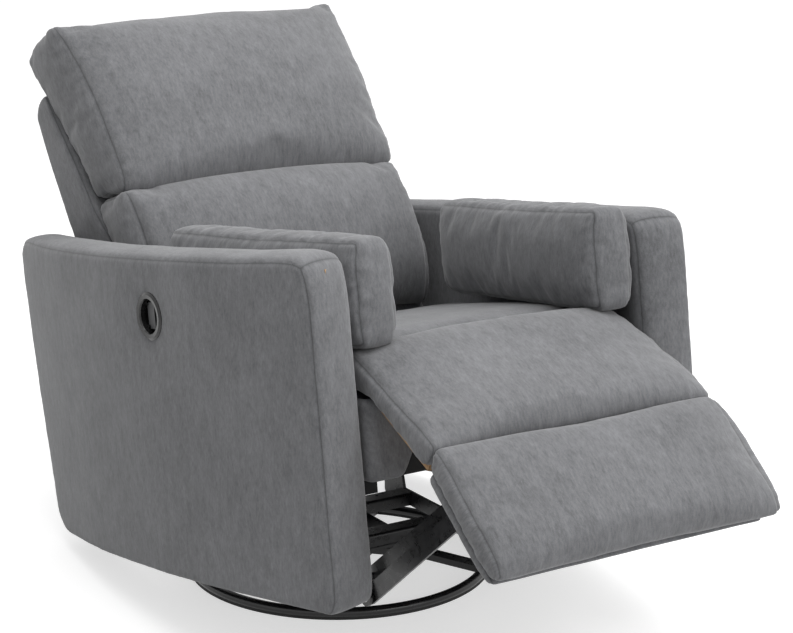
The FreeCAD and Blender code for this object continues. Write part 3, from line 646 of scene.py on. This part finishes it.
def pillowForm(side):
    # the right pillow lies a little further back and rises at its rear
    turn, centre = math.radians(5.9), (0.245, -0.305, 0.561)
    front, back, lift = (-0.266, 0.020, 0.008) if side < 0 else (-0.274, 0.010, -0.002)

    def place(x, a, b):
        a += back
        b += lift * max(0.0, min(1.0, (a + 0.2) / 0.45)) * max(0.0, b / 0.08)
        across, along = x * math.cos(turn) + a * math.sin(turn), a * math.cos(turn) - x * math.sin(turn)
        return side * (centre[0] + across) + 0.004 * (side > 0), centre[1] + along, centre[2] + b

    def width(a, b):
        pinch = 0.009 * (abs(a) / 0.272) ** 6 + 0.006 * (abs(b) / 0.080) ** 4
        return -0.042 + pinch, 0.042 - pinch

    return {"cells": (9, 18, 58), "place": place, "width": width, "bulge": 0.013, "power": 2.4,
            "sides": [[(front + 0.004, -0.077, 0.004), (front, -0.04, 0.006), (front, 0.04, 0.006)],
                      [(front + 0.003, 0.080, 0.003), (-0.245, 0.081, 0.005), (0.0, 0.080, 0.007),
                       (0.250, 0.082, 0.005)],
                      [(0.268, 0.080, 0.003), (0.269, 0.04, 0.005), (0.269, -0.04, 0.005)],
                      [(0.267, -0.077, 0.004), (0.250, -0.080, 0.003), (0.0, -0.080, 0.003),
                       (-0.245, -0.080, 0.003)]]}


# stuffed covers swell between their seams, stretched ones keep to the form under them
soft = {"seamDepth": 0.0022, "rumple": 0.0016, "pucker": 0.0030, "puckerReach": 0.013}
taut = {"seamDepth": 0.0018, "rumple": 0.0008, "pucker": 0.0010, "puckerReach": 0.010}
stuffed = {"finish": soft, "pressure": 4.0, "cap": 0.008}
stretched = {"finish": taut}
pieces = [
    {"name": "headCushion", "form": headForm, "body": "back", "nodes": ["head_cushion"], "fill": 0.75,
     **stuffed, "slack": 0.012, "cap": 0.012},
    {"name": "lumbarCushion", "form": lumbarForm, "body": "back", "nodes": ["lumbar_cushion"], "fill": 0.75,
     **stuffed, "slack": 0.012, "cap": 0.010},
    {"name": "backShell", "form": shellForm, "body": "back", "nodes": ["back_shell"], "fill": 0.95,
     **stretched},
    {"name": "seatCushion", "form": seatForm, "body": "chair", "nodes": ["seat_cushion"], "fill": 0.8,
     **stuffed, "slack": 0.008},
    {"name": "chaisePad", "form": chaiseForm, "body": None, "nodes": ["shoulder_pad", "chaise_pad"],
     "fill": 0.8, **stuffed, "slack": 0.010,
     "across": ("chair", "chaise", (0.0, -0.560, 0.44), (0.0, -0.598, 0.42))},
    {"name": "footrestPad", "form": footPadForm, "body": "footrest", "nodes": ["footrest_pad"], "fill": 0.8,
     **stuffed, "slack": 0.010},
    {"name": "footrestEdge", "form": footEdgeForm, "body": "footrest", "nodes": ["footrest_board"],
     "fill": 0.9, **stretched},
    {"name": "hingeCloth", "form": hingeClothForm, "body": "chaise", "nodes": [], "fill": 0.9, **stretched},
    {"name": "armRight", "form": armForm(-1), "body": "chair", "nodes": ["arm_right"], "fill": 0.95,
     **stretched},
    {"name": "armLeft", "form": armForm(1), "body": "chair", "nodes": ["arm_left"], "fill": 0.95,
     **stretched},
    {"name": "pillowRight", "form": pillowForm(-1), "body": "pillow_right", "nodes": ["arm_pillow_right"],
     "fill": 0.6, **stuffed, "slack": 0.02},
    {"name": "pillowLeft", "form": pillowForm(1), "body": "pillow_left", "nodes": ["arm_pillow_left"],
     "fill": 0.6, **stuffed, "slack": 0.02},
]
for piece in pieces:
    piece["object"] = wrapForm(piece["name"], piece["form"])
print("upholstery drawn")

puff([piece for piece in pieces if "pressure" in piece])
print("upholstery stuffed")


def sinkLatch(obj):
    # the right arm's outer panel goes in under the latch's rim
    mesh = obj.data
    co = coordinates(mesh)
    at = settle([(-armOuter(latch["y"], -1), latch["y"], latch["z"])])[0]
    lying = math.asin((latch["y"] - arm["wideY"]) / arm["radius"][-1])
    start, end = settle([(0.0, 0.0, 0.0), (-math.cos(lying), math.sin(lying), 0.0)])
    out = end - start
    edge, clearance, panel = 0.003, 0.0003, 0.02
    flat = co - at
    height = flat @ out
    across = flat - height[:, None] * out
    far = np.linalg.norm(across, axis=1)
    near = (np.abs(height) < panel) & (far < latch["rim"])
    drop = np.clip((latch["hole"] + 0.002 - far) / edge, 0, 1)
    co[near] -= out * (drop[near] * latch["depth"])[:, None]
    flush = near & (far >= latch["hole"] - 0.001)
    co[flush] -= out * np.maximum(0, height[flush] + clearance)[:, None]
    moveTo(mesh, co)


for number, piece in enumerate(pieces):
    obj = piece["object"]
    refine(obj)
    tailor(obj, {**piece["finish"], "seed": 3.7 * (number + 1)})
    if piece["name"] == "armRight":
        sinkLatch(obj)
    obj.data.materials.clear()
    obj.data.materials.append(upholstery)
    if piece["body"]:
        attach(obj, piece["body"])
    else:
        start, end = settle(piece["across"][2:])
        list(piece["across"][:2])
        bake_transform(obj)
    if piece["nodes"]:
        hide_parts(*piece["nodes"])
print("upholstery finished")


def railCover():
    # thin padded panel over the front rail and round its ends, arched below
    nx, nz, half, thick, wrapped = 72, 18, 0.2565, 0.010, 0.025
    co, marks, cloth, faces = [], [], [], []
    for layer in (0, 1):
        for i in range(nx + 1):
            run = (half + wrapped) * (2 * i / nx - 1)
            x = max(-half, min(half, run))
            arch = np.clip((0.206 - abs(x)) / 0.030, 0, 1)
            low = 0.273 + 0.045 * arch * arch * (3 - 2 * arch)
            turn = math.pi / 2 * np.clip((abs(run) - half + 0.006) / 0.012, 0, 1)
            for j in range(nz + 1):
                z = low + (0.403 - low) * j / nz
                edge = min(i, nx - i, 2 * j, 2 * (nz - j)) / 4
                swell = math.sqrt(max(0.0, 1 - (1 - min(edge, 1.0)) ** 2))
                out = (thick * 0.35 + thick * 0.65 * swell) * layer
                co.append((x + math.copysign(out * math.sin(turn), run),
                           -0.5555 + abs(run - x) - out * math.cos(turn), z))
                marks.append(0.0)
    row = nz + 1

    def at(layer, i, j):
        return layer * (nx + 1) * row + i * row + j

    def add(*corners):
        faces.append([at(*corner) for corner in corners])
        cloth.extend([(corner[1] * 0.0078, co[at(*corner)][2] + 2 * corner[0]) for corner in corners])

    for i in range(nx):
        for j in range(nz):
            for layer in (0, 1):
                add((layer, i, j), (layer, i + 1, j), (layer, i + 1, j + 1), (layer, i, j + 1))
        add((0, i, 0), (0, i + 1, 0), (1, i + 1, 0), (1, i, 0))
        add((0, i, nz), (0, i + 1, nz), (1, i + 1, nz), (1, i, nz))
    for j in range(nz):
        add((0, 0, j), (0, 0, j + 1), (1, 0, j + 1), (1, 0, j))
        add((0, nx, j), (0, nx, j + 1), (1, nx, j + 1), (1, nx, j))
    return clothObject("frontRailCover", co, faces, marks, cloth)


cover = railCover()
refine(cover)
cover.data.materials.clear()
cover.data.materials.append(upholstery)
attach(cover, "chair")
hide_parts("front_rail_cover")


# Finishes of the frame's own pieces

finishes = [
    (blackTube, ["base_ring"]),
    (floorRubber, ["floor_strip"]),
    (blackSteel, ["base_arms", "swivel_hub", "swivel_plate", "base_channels", "base_side_members",
                  "glider_posts", "front_glide_links", "rear_glide_links", "mechanism_plate_left",
                  "mechanism_plate_right", "cross_tubes", "drive_arms", "torque_tube", "lift_bar_left",
                  "lift_bar_right", "guide_bar_left", "guide_bar_right", "footrest_brackets",
                  "recline_brackets", "back_hinge_leaves", "rail_hinges", "chaise_hinge_leaves",
                  "chaise_front_leaves", "footrest_hinge_leaves"]),
    (rivetSteel, ["bearing_balls", "glider_post_pins", "hanger_pins", "knee_pins", "bracket_pins",
                  "recline_pins", "latch_pin"]),
    (springWire, ["seat_springs"]),
    (frameWood, ["rear_rail", "arm_blocks", "arm_frames", "chaise_board"]),
    (strapWeave, ["back_webbing"]),
    (underCloth, ["seat_side_rails", "front_rail", "back_posts", "back_rails"]),
    (latchPlastic, ["latch_cup"]),
    (paddlePlastic, ["latch_paddle"]),
]
dressed = set()
for material, names in finishes:
    for name in names:
        obj = nodes[name]
        if not obj.material_slots:
            obj.data.materials.append(material)
        for slot in obj.material_slots:
            slot.material = material
        dressed.add(name)
replaced = {name for piece in pieces for name in piece["nodes"]} | {"front_rail_cover"}
print("nodes without a finish:", sorted(set(nodes) - dressed - replaced))


# Floor, light and camera

def seenRays(tree):
    # 1 for what the camera sees, straight, in a gloss or through something clear
    path = tree.nodes.new("ShaderNodeLightPath")
    glossy = addMath(tree, "MAXIMUM", path.outputs["Is Glossy Ray"], path.outputs["Is Transmission Ray"])
    return addMath(tree, "MAXIMUM", path.outputs["Is Camera Ray"], glossy)


def whiteFloor():
    # seen directly the open floor is white, and it keeps the chair's shadow
    reach, tone, glow = 30.0, 0.62, 0.6
    mesh = bpy.data.meshes.new("floor")
    mesh.from_pydata([(-reach, -reach, 0), (reach, -reach, 0), (reach, reach, 0), (-reach, reach, 0)],
                     [], [(0, 1, 2, 3)])
    floor = bpy.data.objects.new("floor", mesh)
    scene.collection.objects.link(floor)
    paint = bpy.data.materials.new("paleFloor")
    paint.use_nodes = True
    tree = paint.node_tree
    shader = tree.nodes["Principled BSDF"]
    shader.inputs["Base Color"].default_value = (tone, tone, tone, 1)
    shader.inputs["Roughness"].default_value = 0.9
    shader.inputs["Specular IOR Level"].default_value = 0.0
    shader.inputs["Emission Color"].default_value = (1, 1, 1, 1)
    tree.links.new(addMath(tree, "MULTIPLY", seenRays(tree), glow), shader.inputs["Emission Strength"])
    mesh.materials.append(paint)


def softLight(name, place, target, size, power):
    light = bpy.data.lights.new(name, "AREA")
    light.shape = "RECTANGLE"
    light.size, light.size_y = size
    light.energy = power
    obj = bpy.data.objects.new(name, light)
    obj.location = place
    obj.rotation_euler = (Vector(target) - Vector(place)).to_track_quat("-Z", "Y").to_euler()
    scene.collection.objects.link(obj)


def studio():
    # an even sky, dimmer towards the right side of the seat; the camera sees plain white
    dim, bright, crown = 0.30, 0.85, 0.25
    world = bpy.data.worlds.new("studio")
    scene.world = world
    world.use_nodes = True
    tree = world.node_tree
    sky = tree.nodes["Background"]
    sky.inputs["Color"].default_value = (1, 1, 1, 1)
    direction = tree.nodes.new("ShaderNodeTexCoord")
    parts = tree.nodes.new("ShaderNodeSeparateXYZ")
    tree.links.new(direction.outputs["Generated"], parts.inputs[0])
    across = addRange(tree, parts.outputs["X"], dim, bright, -1.0, 1.0)
    upward = addMath(tree, "MULTIPLY", parts.outputs["Z"], crown)
    mix = tree.nodes.new("ShaderNodeMix")
    tree.links.new(seenRays(tree), mix.inputs["Factor"])
    tree.links.new(addMath(tree, "ADD", across, upward), mix.inputs["A"])
    mix.inputs["B"].default_value = 1.0
    tree.links.new(mix.outputs["Result"], sky.inputs["Strength"])
    softLight("overhead", (0.1, -0.9, 3.6), (0.0, 0.0, 0.3), (3.6, 3.6), 92.0)
    softLight("frontFill", (0.9, -4.4, 2.1), (0.0, 0.0, 0.4), (3.0, 2.2), 42.0)


def photoCamera():
    data = bpy.data.cameras.new("photoCamera")
    data.lens, data.sensor_width = photo["lens"], photo["sensor"]
    data.clip_end = 200.0
    obj = bpy.data.objects.new("photoCamera", data)
    obj.location = photo["place"]
    toward = Vector(photo["target"]) - Vector(photo["place"])
    obj.rotation_euler = toward.to_track_quat("-Z", "Y").to_euler()
    scene.collection.objects.link(obj)
    scene.camera = obj


whiteFloor()
studio()
photoCamera()
scene.view_settings.view_transform = "Standard"
print("floor, light and camera set")
